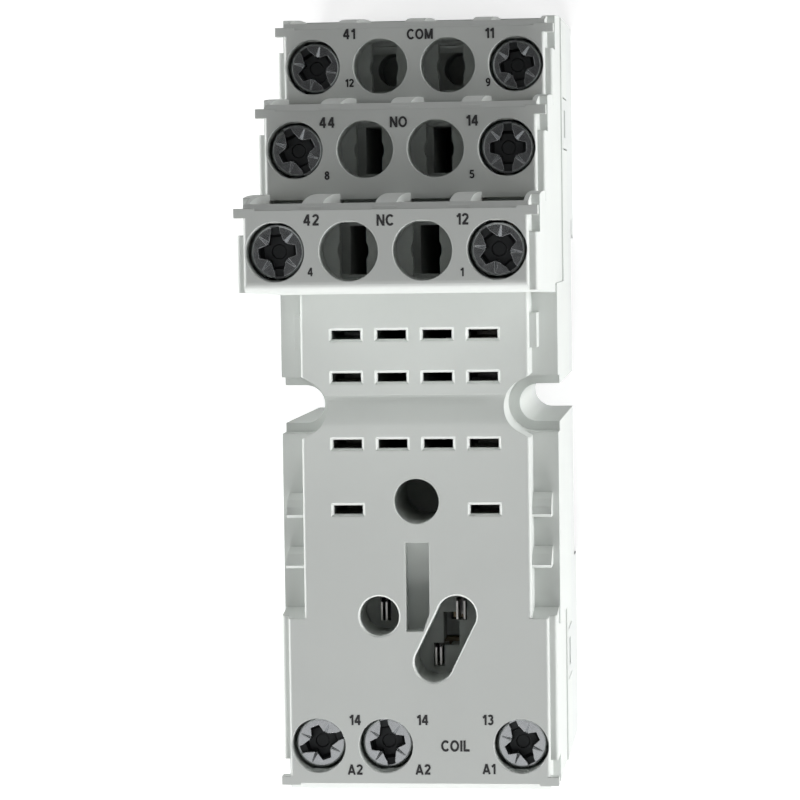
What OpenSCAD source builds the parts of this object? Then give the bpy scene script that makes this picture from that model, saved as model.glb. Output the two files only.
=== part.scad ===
// Two-pole relay socket on a four-pole frame, for a 35 mm rail or two panel screws.
// It lies on its back: X is the width, Y the length (tiers at +Y, coil end at -Y),
// and Z points out of the rail towards the relay.

/* [Body] */
// Side wall of the lower body beside the outermost terminals' share of the width
side_t = 0.4; // [0.3:0.05:0.8]
// How far the walls of the tiers and the coil block stand in from the lower body
wall_step = 0.15; // [0.1:0.05:0.2]
// How far the raised printed faces stand in from those walls
face_step = 0.75; // [0.5:0.05:0.8]
// Height of the relay seat above the back of the feet
seat_z = 36.8; // [36:0.1:40]
// Height of the joint between housing and rear cover
joint_z = 11; // [10:0.5:12]
// How far the raised relay seat stands in from the sides of the body
seat_step = 2.5; // [2.2:0.1:3]
// Drop from the relay seat to the flanks beside it
flank_drop = 4.4; // [3:0.1:5]
// Radius of the moulded outer edges
edge_r = 0.3; // [0.1:0.05:0.45]
// Row of the step that starts the trough across the relay seat
trough_y = 0.7; // [0.6:0.05:0.8]
// Length of the trough along the body
trough_l = 3.1; // [2.6:0.1:3.2]
// Depth of the trough at its step
trough_h = 0.65; // [0.4:0.05:0.7]

/* [Terminal tiers] */
// Distance between neighbouring terminals
pole_pitch = 6.55; // [6.5:0.01:6.7]
// Drop from the relay seat to the lowest tier
com_drop = 3.2; // [2.5:0.1:4]
// Rise from one tier to the next
tier_rise = 13.7; // [13.7:0.1:15]
// Screw row of the top tier (normally closed contacts)
nc_y = 14.75; // [14.5:0.05:15]
// From that row to the middle one (normally open contacts)
no_step = 9.25; // [9:0.05:9.5]
// From the middle row to the lowest one (common contacts)
com_step = 8.3; // [8.2:0.05:8.6]
// From a screw row to the edge of its printed face
face_reach = 3.65; // [3.5:0.05:3.8]
// From a screw row to the wall with the wire entries
entry_reach = 4.25; // [4.1:0.05:4.25]
// From a screw row to the outer edge of the ribs between the wires
rib_reach = 5.2; // [4.8:0.05:5.2]
// Thickness of the ribs between the wires
rib_w = 1.85; // [1.6:0.05:1.9]
// From the top screw row to the tower's wall above the relay
tower_reach = 3.6; // [3.5:0.05:3.8]
// How far that wall's foot stands out towards the relay
tower_lean = 0.85; // [0.3:0.05:1]
// Radius along the lower edge of the top tier
tower_r = 0.9; // [0.3:0.1:1.1]
// Depth of the side walls below the printed faces
strip_drop = 1.2; // [0.6:0.1:1.6]
// Width of the coupling pegs along the body
peg_l = 0.85; // [0.6:0.05:1]
// Depth of the coupling pockets behind the pegs
pocket_d = 5; // [3:0.5:6]

/* [Terminal wells] */
// Diameter of the screwdriver well
well_d = 5.3; // [5.1:0.05:5.4]
// Height of the well between its two flats
well_flat = 5.1; // [4.8:0.05:5.1]
// Depth of the round mouth above the flats
mouth_h = 0.5; // [0.3:0.1:1]
// Depth of the well down to its floor
well_depth = 3.7; // [3.7:0.1:3.9]
// Thickness of the well floor
floor_t = 1.3; // [1:0.1:1.3]
// Width of the slot in the well floor
floor_slot = 2.4; // [2.2:0.1:2.6]
// Diameter of the hole in the well floor
floor_hole = 2.8; // [2.7:0.05:3]
// Depth of the closed floor in an empty common terminal
blank_drop = 7.8; // [7.4:0.1:9]
// Place and width of the blind hole in that floor
blank_hole = [0.6, -0.05, 3.2];
// Depth of the clamp chamber below the face
chamber_depth = 14.2; // [14.2:0.1:14.6]

/* [Screws and cages] */
// Diameter of the screw head
head_d = 4.8; // [4.3:0.05:4.8]
// Height of the screw head
head_h = 1.8; // [1.6:0.05:1.8]
// Depth of the screw head below the face
head_drop = 1.8; // [1.6:0.05:1.8]
// Diameter of the screw thread
thread_d = 2.5; // [2.3:0.05:2.6]
// Play of the screw in the cage's thread
thread_fit = 0.05; // [0.02:0.01:0.1]
// Play of the clamp cage between the ribs
cage_fit = 0.2; // [0.1:0.05:0.3]
// Length of the clamp cage along the wire
cage_l = 3.9; // [3.5:0.1:3.9]
// Height of the clamp cage
cage_h = 6.4; // [6.3:0.05:6.5]
// Side wall of the cage
cage_t = 0.7; // [0.6:0.05:0.75]
// Threaded upper wall of the cage
cage_top_t = 1.6; // [1.2:0.1:1.6]
// Lower wall of the cage
cage_low_t = 0.9; // [0.7:0.05:1]
// Depth of the open cage below the face
cage_drop = 7.3; // [7.3:0.05:7.4]

/* [Contacts] */
// Pitch of the relay blades across the socket
blade_pitch = 4.4; // [4.3:0.05:4.5]
// Rows of relay blades: closed, open, common and coil
blade_rows = [6.5, 2.4, -4, -10.35];
// Length of a blade slot
slot_l = 2.8; // [2.6:0.05:2.9]
// Width of a blade slot
slot_w = 0.85; // [0.7:0.05:1]
// Chamfer round a blade slot
slot_c = 0.25; // [0.1:0.05:0.3]
// Skin of the relay seat over the contact chambers
skin_t = 0.9; // [0.7:0.05:1.2]
// Width of the contact strips
strip_w = 2.6; // [2.2:0.05:2.6]
// Thickness of the contact strips
strip_t = 0.8; // [0.5:0.05:0.8]
// Depth of the strip's tongue below the face
tongue_drop = 9.1; // [9.1:0.05:9.2]
// Step between the strips of the three tiers
lane_step = 3.6; // [3:0.1:3.6]
// Sheet of the spring clips
clip_t = 0.35; // [0.25:0.05:0.4]
// Play of the contacts in their chambers
contact_fit = 0.2; // [0.1:0.05:0.25]

/* [Module bay] */
// Place of the single module contact
mod_a = [-3.73, -20.65];
// Places of the two contacts in the long bay
mod_b = [3.75, -20.6];
mod_c = [1.5, -25.15];
// Diameter of the single contact's well and width of the long bay
mod_d = 3.85; // [3.6:0.05:4]
// Depth of the module bay
mod_depth = 5.8; // [5:0.1:6]
// Diameter of the locating hole
guide_d = 4.36; // [4:0.05:4.6]
// Row of the locating hole
guide_y = -9.56; // [-9.8:0.05:-9.3]
// Depth of the locating hole
guide_h = 12; // [6:0.5:14]
// Width of the sloping key recess
key_w = 2.3; // [2:0.05:2.5]
// Depth of the key recess at its upper end
key_top = 1.6; // [0.5:0.1:2]
// Deepest point of the key recess
key_h = 2.5; // [1:0.1:3]
// Bevel round the wells of the module bay
rim_c = 0.14; // [0.05:0.01:0.2]

/* [Panel and rail] */
// Centre line of the rail and of the panel screws
rail_y = -0.5; // [-0.6:0.05:-0.4]
// Width of the panel screw's slot
screw_slot = 3.7; // [3.3:0.05:3.9]
// Width of the seat for the panel screw's head
screw_seat = 5.5; // [5.3:0.05:5.7]
// Depth of that seat below the relay seat
seat_depth = 7; // [6:0.1:8]
// How far the relay seat's edge is slanted beyond that seat, above and below it
corner_run = 0.3; // [0.1:0.05:0.6]
// Width of the mounting rail
rail_w = 35; // [34.8:0.1:35.2]
// Thickness of the rail's flanges
rail_t = 1; // [0.9:0.1:1.2]
// Play of the rail between the hooks
rail_fit = 0.3; // [0.2:0.05:0.5]
// Depth of the rail channel
channel_h = 4.5; // [4.3:0.1:5]
// How far the hooks reach under the flanges
hook_reach = 1.6; // [1:0.1:2]
// Thickness of the hooks
hook_t = 2; // [1.6:0.1:2]
// Width of the rail latch
latch_w = 10; // [8:0.5:12]
// Travel of the rail latch
latch_travel = 3; // [2:0.1:3]
// Play of the latch in its guide
latch_fit = 0.2; // [0.1:0.05:0.25]
// Outer diameter of the latch spring
spring_d = 1.9; // [1.6:0.05:1.9]
// Wire of the latch spring
wire_d = 0.3; // [0.2:0.05:0.4]
// Turns of the latch spring
spring_turns = 8; // [5:1:10]
// Wall of the rear cover
cover_t = 1.5; // [1.2:0.1:1.8]
// Width of the snap loops
snap_w = 5; // [4:0.5:6]
// Height of the snap loops
snap_h = 6.5; // [5:0.5:7]

/* [Hidden] */
$fn = 48;
eps = 0.01;
big = 100;

// Columns: 0 and 3 are wired, 1 and 2 stay empty on the tiers.
COLUMNS = [0, 1, 2, 3];
OUTER = [0, 3];
// Tiers: 0 common, 1 normally open, 2 normally closed.
TIERS = [0, 1, 2];
function tier_z(t) = seat_z - com_drop + t * tier_rise;
function pole_x(c) = (c - 1.5) * pole_pitch;
function blade_x(c) = (c - 1.5) * blade_pitch;
function blade_y(t) = blade_rows[2 - t];

no_y = nc_y + no_step;
com_y = no_y + com_step;
tier_y = [com_y, no_y, nc_y];
body_w = 4 * pole_pitch + 2 * side_t;
wall_w = body_w - 2 * wall_step;
face_w = wall_w - 2 * face_step;
seat_w = body_w - 2 * seat_step;
body_l = 2 * (com_y + rib_reach);
coil_y = entry_reach - body_l / 2;
flank_z = seat_z - flank_drop;
ledge_drop = tier_rise;
chamber_w = pole_pitch - rib_w;
cage_w = chamber_w - 2 * cage_fit;
chamber_back = cage_l / 2 + 0.25;
chamber_top = well_depth + floor_t;
entry_top = chamber_top + 1.9;
groove_w = 0.4;
groove_h = 2.6;
head_top = -head_drop;
head_low = head_top - head_h;
screw_tip = -tongue_drop + 0.1;

// The strips: tongue through the cage, riser behind it, lane along the body, stem to the clip.
tongue_tip = cage_l / 2 + 0.25;
riser_front = -cage_l / 2 - 0.3;
riser_back = riser_front - strip_t;
clip_z = seat_z - tongue_drop;
lane_top = [for (t = TIERS) clip_z - 0.7 - (2 - t) * lane_step];
post_l = 2.3;
jog_l = 2.5;
lane_fit = contact_fit;
stem_l = 0.8;
clip_l = 1.7;

cover_floor = channel_h + cover_t;
latch_z = channel_h - rail_t - 0.2 - hook_t;
channel_lo = rail_y - rail_w / 2 - rail_fit;
channel_hi = rail_y + rail_w / 2 + rail_fit;
latch_nose = channel_lo + hook_reach;
peg_y = -32.5;
peg_len = 1.3;
spring_end = -22;
snap_y = [-27, 27];

// An arc as points, from angle a to angle b round a centre.
function arc(centre, r, a, b, n) = [
  for (i = [0:n]) centre + r * [cos(a + (b - a) * i / n), sin(a + (b - a) * i / n)]
];

// The left side of a bent line, one corner at a time, t/2 away from it.
function unit(v) = v / norm(v);
function normal_at(p, i) =
  let (a = i == 0 ? unit(p[1] - p[0]) : unit(p[i] - p[i - 1]),
       b = i == len(p) - 1 ? a : unit(p[i + 1] - p[i]),
       m = unit(a + b))
  [-m[1], m[0]] / (m * a);
function ribbon(p, t) = concat(
  [for (i = [0:len(p) - 1]) p[i] + normal_at(p, i) * t / 2],
  [for (i = [len(p) - 1:-1:0]) p[i] - normal_at(p, i) * t / 2]
);

// Carries a Y-Z outline across the body.
module across(w) {
  rotate([90, 0, 90])
    linear_extrude(w, center = true)
      children();
}

// Carries an X-Z outline along the body, from y0 to y1.
module along(y0, y1) {
  translate([0, y1, 0])
    rotate([90, 0, 0])
      linear_extrude(y1 - y0)
        children();
}

// A box from its lowest to its highest corner.
module span(a, b) {
  translate(a)
    cube(b - a);
}

module both_sides() {
  children();
  mirror([1, 0, 0])
    children();
}

// Puts a terminal's own frame (face at z = 0, wires towards +y) in its place.
module at_tier(c, t) {
  translate([pole_x(c), tier_y[t], tier_z(t)])
    children();
}

module at_coil(c) {
  translate([pole_x(c), coil_y, seat_z])
    mirror([0, 1, 0])
      children();
}

// Everything that is done at all fifteen terminals.
module at_terminals() {
  for (t = TIERS)
    for (c = COLUMNS)
      at_tier(c, t) children();
  for (c = [0, 1, 3])
    at_coil(c) children();
}

// Outline of a block with a printed face and lower side walls, with rounded edges.
module block_outline(z, low) {
  h = face_w / 2;
  w = wall_w / 2;
  s = z - strip_drop;
  half = concat(
    [[w, low]],
    arc([w - edge_r, s - edge_r], edge_r, 0, 90, 4),
    [[h, s]],
    arc([h - edge_r, z - edge_r], edge_r, 0, 90, 4)
  );
  polygon(concat(half, [for (i = [len(half) - 1:-1:0]) [-half[i][0], half[i][1]]]));
}

// The stepped tower that carries the three tiers.
module tower() {
  foot_y = nc_y - tower_reach - tower_lean;
  front_y = nc_y - tower_reach;
  top = tier_z(2);
  steps = [for (t = TIERS)
    each [
      [tier_y[t] + entry_reach, tier_z(t) - ledge_drop],
      [tier_y[t] + entry_reach, tier_z(t) - entry_reach + face_reach],
      [tier_y[t] + face_reach, tier_z(t)]
    ]
  ];
  outline = concat(
    [[foot_y, joint_z], [com_y + entry_reach, joint_z]],
    steps,
    arc([front_y + tower_r, top - tower_r], tower_r, 90, 180, 6),
    [[foot_y, flank_z]]
  );
  intersection() {
    across(body_w)
      polygon(outline);
    union()
      for (t = TIERS)
        along(t == 2 ? foot_y - 1 : tier_y[t + 1] + entry_reach, tier_y[t] + entry_reach + eps)
          block_outline(tier_z(t), joint_z);
  }
}

// A rib between two wires: its nose curves from the face out to the next ledge.
module wire_rib(t, w) {
  nose = rib_reach - face_reach;
  outline = concat(
    [[face_reach - 0.4, -ledge_drop], [face_reach - 0.4, 0]],
    [for (a = [0:10:90]) [face_reach + nose * sin(a), ledge_drop * (cos(a) - 1)]]
  );
  translate([0, tier_y[t], tier_z(t)])
    across(w)
      polygon(outline);
}

module wire_ribs(t) {
  side_w = (wall_w - 4 * pole_pitch + rib_w) / 2;
  for (x = [-pole_pitch, 0, pole_pitch])
    translate([x, 0, 0])
      wire_rib(t, rib_w);
  both_sides()
    translate([(wall_w - side_w) / 2, 0, 0])
      wire_rib(t, side_w);
}

// Coupling peg and the pocket it stands in, at both ends of a row.
module pocket(reach) {
  both_sides()
    span([face_w / 2, reach - 2.15, -pocket_d], [body_w, big, 1]);
}

module peg() {
  both_sides()
    span([face_w / 2 - 1, face_reach - peg_l + 0.2, -strip_drop - 0.2],
         [body_w / 2 - 0.05, face_reach + 0.2, 0]);
}

// One terminal: driver well, slotted floor, clamp chamber and wire entry.
module terminal_cut() {
  translate([0, 0, -mouth_h])
    cylinder(d = well_d, h = mouth_h + 1);
  translate([0, 0, -well_depth])
    linear_extrude(well_depth)
      intersection() {
        circle(d = well_d);
        square([well_d, well_flat], center = true);
      }
  translate([0, 0, -chamber_top - eps])
    linear_extrude(floor_t + 2 * eps) {
      circle(d = floor_hole);
      square([floor_slot, well_flat], center = true);
    }
  span([-chamber_w / 2, -chamber_back, -chamber_depth],
       [chamber_w / 2, chamber_back, -chamber_top]);
  span([-chamber_w / 2, chamber_back - eps, -chamber_depth],
       [chamber_w / 2, entry_reach + eps, -entry_top]);
}

// Narrow dark groove in the ledge under a tier's wire entry.
module entry_groove() {
  span([-chamber_w / 2, entry_reach - 0.5, -ledge_drop - groove_h],
       [chamber_w / 2, entry_reach + groove_w, -ledge_drop + eps]);
}

// Way in from the back for the riser and the tongue of a strip.
module tongue_shaft(top) {
  w = strip_w + 2 * lane_fit;
  span([-w / 2, riser_back - lane_fit, joint_z - top - 1],
       [w / 2, tongue_tip + lane_fit, -tongue_drop + 0.1]);
}

// The floor of an empty common terminal, with its blind hole and a low bar at the wire side.
module blank_floor() {
  back = chamber_back - 0.2;
  difference() {
    span([-chamber_w / 2 - eps, riser_back - 2 * lane_fit, -chamber_depth - 1],
         [chamber_w / 2 + eps, back, -blank_drop]);
    translate([blank_hole[0], blank_hole[1], -blank_drop - 4])
      cylinder(d = blank_hole[2], h = 5);
  }
  span([-chamber_w / 2 - eps, back - 0.5, -blank_drop - 1], [chamber_w / 2 + eps, back, -blank_drop + 0.35]);
}

// Plan of a lane: straight, a jog, and straight again to the riser.
module lane_plan(c, t, w, extra) {
  x0 = blade_x(c);
  x1 = pole_x(c);
  y0 = blade_y(t) - clip_l / 2 - extra;
  y3 = tier_y[t] + riser_front + extra;
  y2 = tier_y[t] + riser_front - post_l;
  y1 = y2 - jog_l;
  polygon([
    [x0 - w / 2, y0], [x0 + w / 2, y0], [x0 + w / 2, y1], [x1 + w / 2, y2],
    [x1 + w / 2, y3], [x1 - w / 2, y3], [x1 - w / 2, y2], [x0 - w / 2, y1]
  ]);
}

// Plan of a coil strip, from the coil clip to the tongue of its terminal.
coil_jog = -23;
bridge_y = [-30, -27.4];
module coil_plan(side, w, extra) {
  x0 = side * 1.5 * blade_pitch;
  x1 = side * 1.5 * pole_pitch;
  y0 = blade_rows[3] + clip_l / 2 + extra;
  y3 = coil_y - tongue_tip - extra;
  polygon([
    [x0 - w / 2, y0], [x0 + w / 2, y0], [x0 + w / 2, coil_jog], [x1 + w / 2, coil_jog - jog_l],
    [x1 + w / 2, y3], [x1 - w / 2, y3], [x1 - w / 2, coil_jog - jog_l], [x0 - w / 2, coil_jog]
  ]);
}

// A tab of a coil strip that reaches in to a module contact.
tab_w = 2.6;
module tab_plan(at, x, extra) {
  lo = min(at[0] - 1.1, x) - extra;
  hi = max(at[0] + 1.1, x) + extra;
  translate([lo, at[1] - tab_w / 2 - extra])
    square([hi - lo, tab_w + 2 * extra]);
}

module coil_strip_a1(h, extra) {
  linear_extrude(h)
    coil_plan(1, strip_w + 2 * extra, extra);
  linear_extrude(h)
    tab_plan(mod_b, 1.5 * blade_pitch, extra);
  linear_extrude(h)
    tab_plan(mod_c, 1.5 * blade_pitch + 1, extra);
}

module coil_strip_a2(h, extra) {
  w = strip_w / 2 + extra;
  linear_extrude(h)
    coil_plan(-1, 2 * w, extra);
  linear_extrude(h)
    tab_plan(mod_a, -1.5 * blade_pitch, extra);
  span([-1.5 * pole_pitch, bridge_y[0] - extra, 0],
       [-pole_pitch / 2 + w, bridge_y[1] + extra, h]);
  span([-pole_pitch / 2 - w, coil_y - tongue_tip - extra, 0],
       [-pole_pitch / 2 + w, bridge_y[1], h]);
}

// The rounded seat for the relay between the two flanks.
module relay_seat() {
  w = seat_w / 2;
  half = concat([[w, flank_z - 1]], arc([w - edge_r, seat_z - edge_r], edge_r, 0, 90, 4));
  along(coil_block_y() - 1, nc_y)
    polygon(concat(half, [for (i = [len(half) - 1:-1:0]) [-half[i][0], half[i][1]]]));
}
function coil_block_y() = -20.9;

// The coil block: its inner end slopes down to the flanks, its outer edge has the wire lip.
module coil_block() {
  outline = [
    [coil_y - entry_reach, joint_z],
    [coil_y - entry_reach, seat_z - entry_reach + face_reach],
    [coil_y - face_reach, seat_z],
    [coil_block_y(), seat_z],
    [coil_block_y() + 0.6, flank_z],
    [coil_block_y() + 0.6, joint_z]
  ];
  intersection() {
    across(body_w)
      polygon(outline);
    along(-body_l / 2, coil_block_y() + 1)
      block_outline(seat_z, joint_z);
  }
}

// Ramped catches and small lugs on the flanks, beside the relay seat.
catch_y = [[-9.1, -11.3], [-14.35, -16.1]];
catch_h = [2.5, 3.6];
module flank_catches() {
  both_sides() {
    for (i = [0, 1])
      translate([seat_w / 2 + 0.78, 0, 0])
        across(2.16)
          polygon([
            [catch_y[i][0], flank_z - 1], [catch_y[i][0], flank_z + 0.6],
            [catch_y[i][0] - 0.5, flank_z + catch_h[i] * 0.6],
            [catch_y[i][0] - 1.2, flank_z + catch_h[i] * 0.87],
            [catch_y[i][1] + 0.3, flank_z + catch_h[i]],
            [catch_y[i][1], flank_z + catch_h[i] - 0.3], [catch_y[i][1], flank_z - 1]
          ]);
    span([seat_w / 2 - 1, 5.1, flank_z - 1], [seat_w / 2 + 0.7, 8.4, seat_z - 0.9]);
  }
}

// U-shaped way for a panel screw, open to the side.
module side_notch(w, x, z0, z1) {
  both_sides() {
    translate([x, rail_y, z0])
      cylinder(d = w, h = z1 - z0);
    span([x, rail_y - w / 2, z0], [body_w, rail_y + w / 2, z1]);
  }
}

// Slanting corners where the edge of the relay seat meets the seat of a panel screw.
module notch_corners() {
  r = screw_seat / 2;
  x = 8.5 + r;
  out = [seat_w / 2 + 0.05 - x, r + corner_run];
  turn = atan2(out[1], out[0]) + acos(r / norm(out));
  // The slanting sides stay a hair inside the round seat.
  on = (r - 0.02) * [cos(turn), sin(turn)];
  both_sides()
    translate([x, rail_y, flank_z])
      linear_extrude(big)
        polygon([
          [0, 0], on, out, [out[0] + 5, out[1]],
          [out[0] + 5, -out[1]], [out[0], -out[1]], [on[0], -on[1]]
        ]);
}

module screw_notches(z0) {
  side_notch(screw_slot, 9.6 + screw_slot / 2, z0, big);
}

// A blade slot with a sloping rim.
module blade_slot() {
  span([-slot_l / 2, -slot_w / 2, -skin_t - 1], [slot_l / 2, slot_w / 2, 1]);
  intersection() {
    across(slot_l + 4)
      polygon([
        [-slot_w / 2, -slot_c], [slot_w / 2, -slot_c],
        [slot_w / 2 + slot_c + eps, eps], [-slot_w / 2 - slot_c - eps, eps]
      ]);
    along(-slot_w * 2, slot_w * 2)
      polygon([
        [-slot_l / 2, -slot_c], [slot_l / 2, -slot_c],
        [slot_l / 2 + slot_c + eps, eps], [-slot_l / 2 - slot_c - eps, eps]
      ]);
  }
}

module blade_slots() {
  for (r = [0, 1, 2])
    for (c = COLUMNS)
      translate([blade_x(c), blade_rows[r], seat_z])
        blade_slot();
  for (c = OUTER)
    translate([blade_x(c), blade_rows[3], seat_z])
      blade_slot();
}

// Chambers for the spring clips, open to the back.
module clip_chambers() {
  w = strip_w + 2 * lane_fit;
  l = clip_l + clip_t + 2 * contact_fit;
  translate([0, 0, joint_z - 1])
    linear_extrude(seat_z - skin_t - joint_z + 1) {
      for (r = [0, 1, 2])
        for (c = COLUMNS)
          translate([blade_x(c), blade_rows[r]])
            square([w, l], center = true);
      for (c = OUTER)
        translate([blade_x(c), blade_rows[3]])
          square([w, l], center = true);
    }
}

// Shallow trough across the relay seat: a step, then a floor that rises along a cosine.
module seat_trough() {
  n = 12;
  floor_line = [for (i = [0:n])
    [trough_y - trough_l * (1 - i / n), seat_z - trough_h * (1 - cos(180 * i / n)) / 2]];
  across(2 * body_w)
    polygon(concat(
      floor_line,
      [[trough_y, seat_z + 1], [trough_y - trough_l, seat_z + 1]]
    ));
}

// Single well, long bay, sloping key recess and locating hole for a plug-in module.
module module_bay() {
  translate([mod_a[0], mod_a[1], seat_z - mod_depth])
    cylinder(d = mod_d, h = big);
  translate([0, guide_y, seat_z - guide_h])
    cylinder(d = guide_d, h = big);
  run = mod_c - mod_b;
  // The straight sides stay a hair inside the round ends.
  side = mod_d / 2 - 0.02;
  translate([mod_b[0], mod_b[1], seat_z - mod_depth]) {
    cylinder(d = mod_d, h = big);
    rotate([0, 0, atan2(run[1], run[0])])
      span([0, -side, 0], [norm(run), side, big]);
  }
  translate([mod_c[0], mod_c[1], seat_z - mod_depth])
    cylinder(d = mod_d, h = big);
  for (at = [mod_a, mod_b, mod_c])
    translate([at[0], at[1], seat_z - rim_c])
      cylinder(d1 = mod_d, d2 = mod_d + 2 * rim_c + 2 * eps, h = rim_c + eps);
  translate([mod_b[0], mod_b[1], seat_z])
    rotate([90, 0, 90 + atan2(run[1], run[0])])
      linear_extrude(norm(run))
        polygon([[-side, -rim_c], [side, -rim_c], [side + rim_c, eps], [-side - rim_c, eps]]);
  for (at = [mod_a, mod_b, mod_c])
    translate([at[0], at[1], 0]) {
      span([-0.5, -1.15, clip_z], [0.5, 1.15, seat_z - mod_depth + 1]);
      span([-1.1, -1.3, clip_z - eps], [1.1, 1.3, seat_z - mod_depth - 1]);
    }
  span([1.95, -24.25, clip_z], [3.5, -20.95, seat_z - mod_depth + 1]);
  key_recess();
}

module key_recess() {
  y0 = -13.55;
  y1 = -22.15;
  intersection() {
    across(key_w + 2)
      polygon([
        [y0, seat_z - key_top], [y1, seat_z - key_h], [y1, seat_z + 1], [y0, seat_z + 1]
      ]);
    translate([0, 0, seat_z - key_h - 1])
      linear_extrude(key_h + 3)
        polygon([
          [-key_w / 2, y0 + 1], [key_w / 2, y0 + 1], [key_w / 2, y1 + 1.75],
          [0.5, y1], [-key_w / 2, y1]
        ]);
  }
}

// Side grooves with a wedge, which the rear cover's loops snap over.
module snap_grooves() {
  both_sides()
    for (y = snap_y)
      span([body_w / 2 - 1.2, y - snap_w / 2 - 0.15, joint_z - 1],
           [body_w, y + snap_w / 2 + 0.15, joint_z + snap_h + 0.2]);
}

module snap_wedges() {
  z = joint_z + snap_h;
  both_sides()
    for (y = snap_y)
      translate([0, y, 0])
        along(-snap_w / 2 + 1.25, snap_w / 2 - 1.25)
          polygon([
            [body_w / 2 - 1.6, z - 3.7], [body_w / 2 - 1.1, z - 3.7],
            [body_w / 2 - 0.15, z - 1.75], [body_w / 2 - 1.6, z - 1.75]
          ]);
}

module housing_solid() {
  tower();
  for (t = TIERS)
    wire_ribs(t);
  relay_seat();
  coil_block();
  // Wide lower body, with the ledge under the lowest wire entries.
  span([-body_w / 2, -body_l / 2, joint_z],
       [body_w / 2, body_l / 2, tier_z(0) - ledge_drop]);
  span([-body_w / 2, coil_block_y() - 1, joint_z],
       [body_w / 2, nc_y - tower_reach, flank_z]);
  flank_catches();
}

module housing() {
  color([0.76, 0.77, 0.76])
    union() {
      difference() {
        housing_solid();
        for (t = TIERS)
          translate([0, tier_y[t], tier_z(t)])
            pocket(face_reach);
        translate([0, coil_y, seat_z])
          mirror([0, 1, 0])
            pocket(face_reach);
        at_terminals()
          terminal_cut();
        for (t = TIERS)
          for (c = COLUMNS)
            at_tier(c, t)
              entry_groove();
        for (t = TIERS)
          for (c = COLUMNS) {
            at_tier(c, t)
              tongue_shaft(tier_z(t));
            translate([0, 0, joint_z - 1])
              linear_extrude(lane_top[t] + 0.1 - joint_z + 1)
                lane_plan(c, t, strip_w + 2 * lane_fit, lane_fit);
          }
        translate([0, 0, joint_z - 1])
          coil_strip_a1(clip_z + 0.05 - joint_z + 1, lane_fit);
        translate([0, 0, joint_z - 1])
          coil_strip_a2(clip_z + 0.05 - joint_z + 1, lane_fit);
        clip_chambers();
        blade_slots();
        seat_trough();
        module_bay();
        side_notch(screw_seat, 8.5 + screw_seat / 2, seat_z - seat_depth, big);
        notch_corners();
        screw_notches(0);
        snap_grooves();
      }
      for (c = [1, 2])
        at_tier(c, 0)
          blank_floor();
      for (t = TIERS)
        translate([0, tier_y[t], tier_z(t)])
          peg();
      translate([0, coil_y, seat_z])
        mirror([0, 1, 0])
          peg();
      snap_wedges();
    }
}

// Posts of the rear cover that hold the strips against the housing.
module post(x, y0, y1, top) {
  w = strip_w - 0.2;
  span([x - w / 2, min(y0, y1), channel_h + eps], [x + w / 2, max(y0, y1), top]);
}

module rear_cover() {
  color([0.74, 0.75, 0.74])
    difference() {
      union() {
        difference() {
          span([-body_w / 2, -body_l / 2, 0], [body_w / 2, body_l / 2, joint_z]);
          // Hollow above the floor, with a wall all round.
          span([-body_w / 2 + cover_t, -body_l / 2 + cover_t, cover_floor],
               [body_w / 2 - cover_t, body_l / 2 - cover_t, joint_z + 1]);
        }
        // Walls round the panel-screw notches.
        intersection() {
          side_notch(screw_slot + 2 * cover_t, 9.6 + screw_slot / 2, 0, joint_z);
          span([-body_w / 2, -body_l / 2, 0], [body_w / 2, body_l / 2, joint_z]);
        }
        for (t = TIERS)
          for (c = OUTER)
            post(pole_x(c), tier_y[t] + riser_front - post_l + 0.1, tier_y[t] + riser_front,
                 lane_top[t] - strip_t);
        for (c = [0, 1, 3])
          post(pole_x(c), coil_y - riser_back, coil_y - riser_back + post_l,
               clip_z - strip_t);
        snap_loops();
      }
      rail_channel();
      latch_guide();
      screw_notches(-1);
    }
}

// The rail channel, with the fixed hook left standing at its upper edge.
module rail_channel() {
  hook_lo = channel_h - rail_t - 0.2;
  across(body_w + 2)
    polygon([
      [channel_lo, -1], [channel_hi - hook_reach - 0.6, -1],
      [channel_hi - hook_reach, hook_lo - hook_t + 0.9],
      [channel_hi - hook_reach, hook_lo], [channel_hi, hook_lo],
      [channel_hi, channel_h], [channel_lo, channel_h]
    ]);
}

// Guide for the latch, its stop peg and the finger notch at its outer end.
module latch_guide() {
  w = latch_w / 2 + latch_fit;
  difference() {
    span([-w, -body_l / 2 - 1, latch_z - latch_fit],
         [w, channel_lo + 1, latch_z + hook_t + latch_fit]);
    span([-1.3, peg_y, 0], [1.3, peg_y + peg_len, big]);
  }
  span([-w, -body_l / 2 - 1, -1], [w, -body_l / 2 + 3, latch_z]);
}

// Loops at the sides that snap over the housing's wedges.
module snap_loops() {
  both_sides()
    for (y = snap_y)
      difference() {
        span([body_w / 2 - 1.1, y - snap_w / 2, joint_z - 4],
             [body_w / 2, y + snap_w / 2, joint_z + snap_h]);
        span([0, y - snap_w / 2 + 1.1, joint_z + snap_h - 3.85],
             [body_w, y + snap_w / 2 - 1.1, joint_z + snap_h - 1.5]);
      }
}

// Sliding rail latch: sloping nose, spring window and driver slot.
module rail_latch() {
  w = latch_w / 2;
  z0 = latch_z;
  z1 = latch_z + hook_t;
  window = spring_d / 2 + 0.35;
  color([0.2, 0.21, 0.21])
    difference() {
      across(latch_w)
        polygon([
          [-body_l / 2, z0], [latch_nose - 1.1, z0], [latch_nose, z0 + 1.1],
          [latch_nose, z1], [-body_l / 2, z1]
        ]);
      span([-window - 0.3, peg_y - 0.25, -1], [window + 0.3, peg_y + peg_len + eps, big]);
      span([-window, peg_y, -1], [window, spring_end, big]);
      span([-2, -body_l / 2 + 1.1, -1], [2, -body_l / 2 + 2.3, big]);
    }
}

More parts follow.
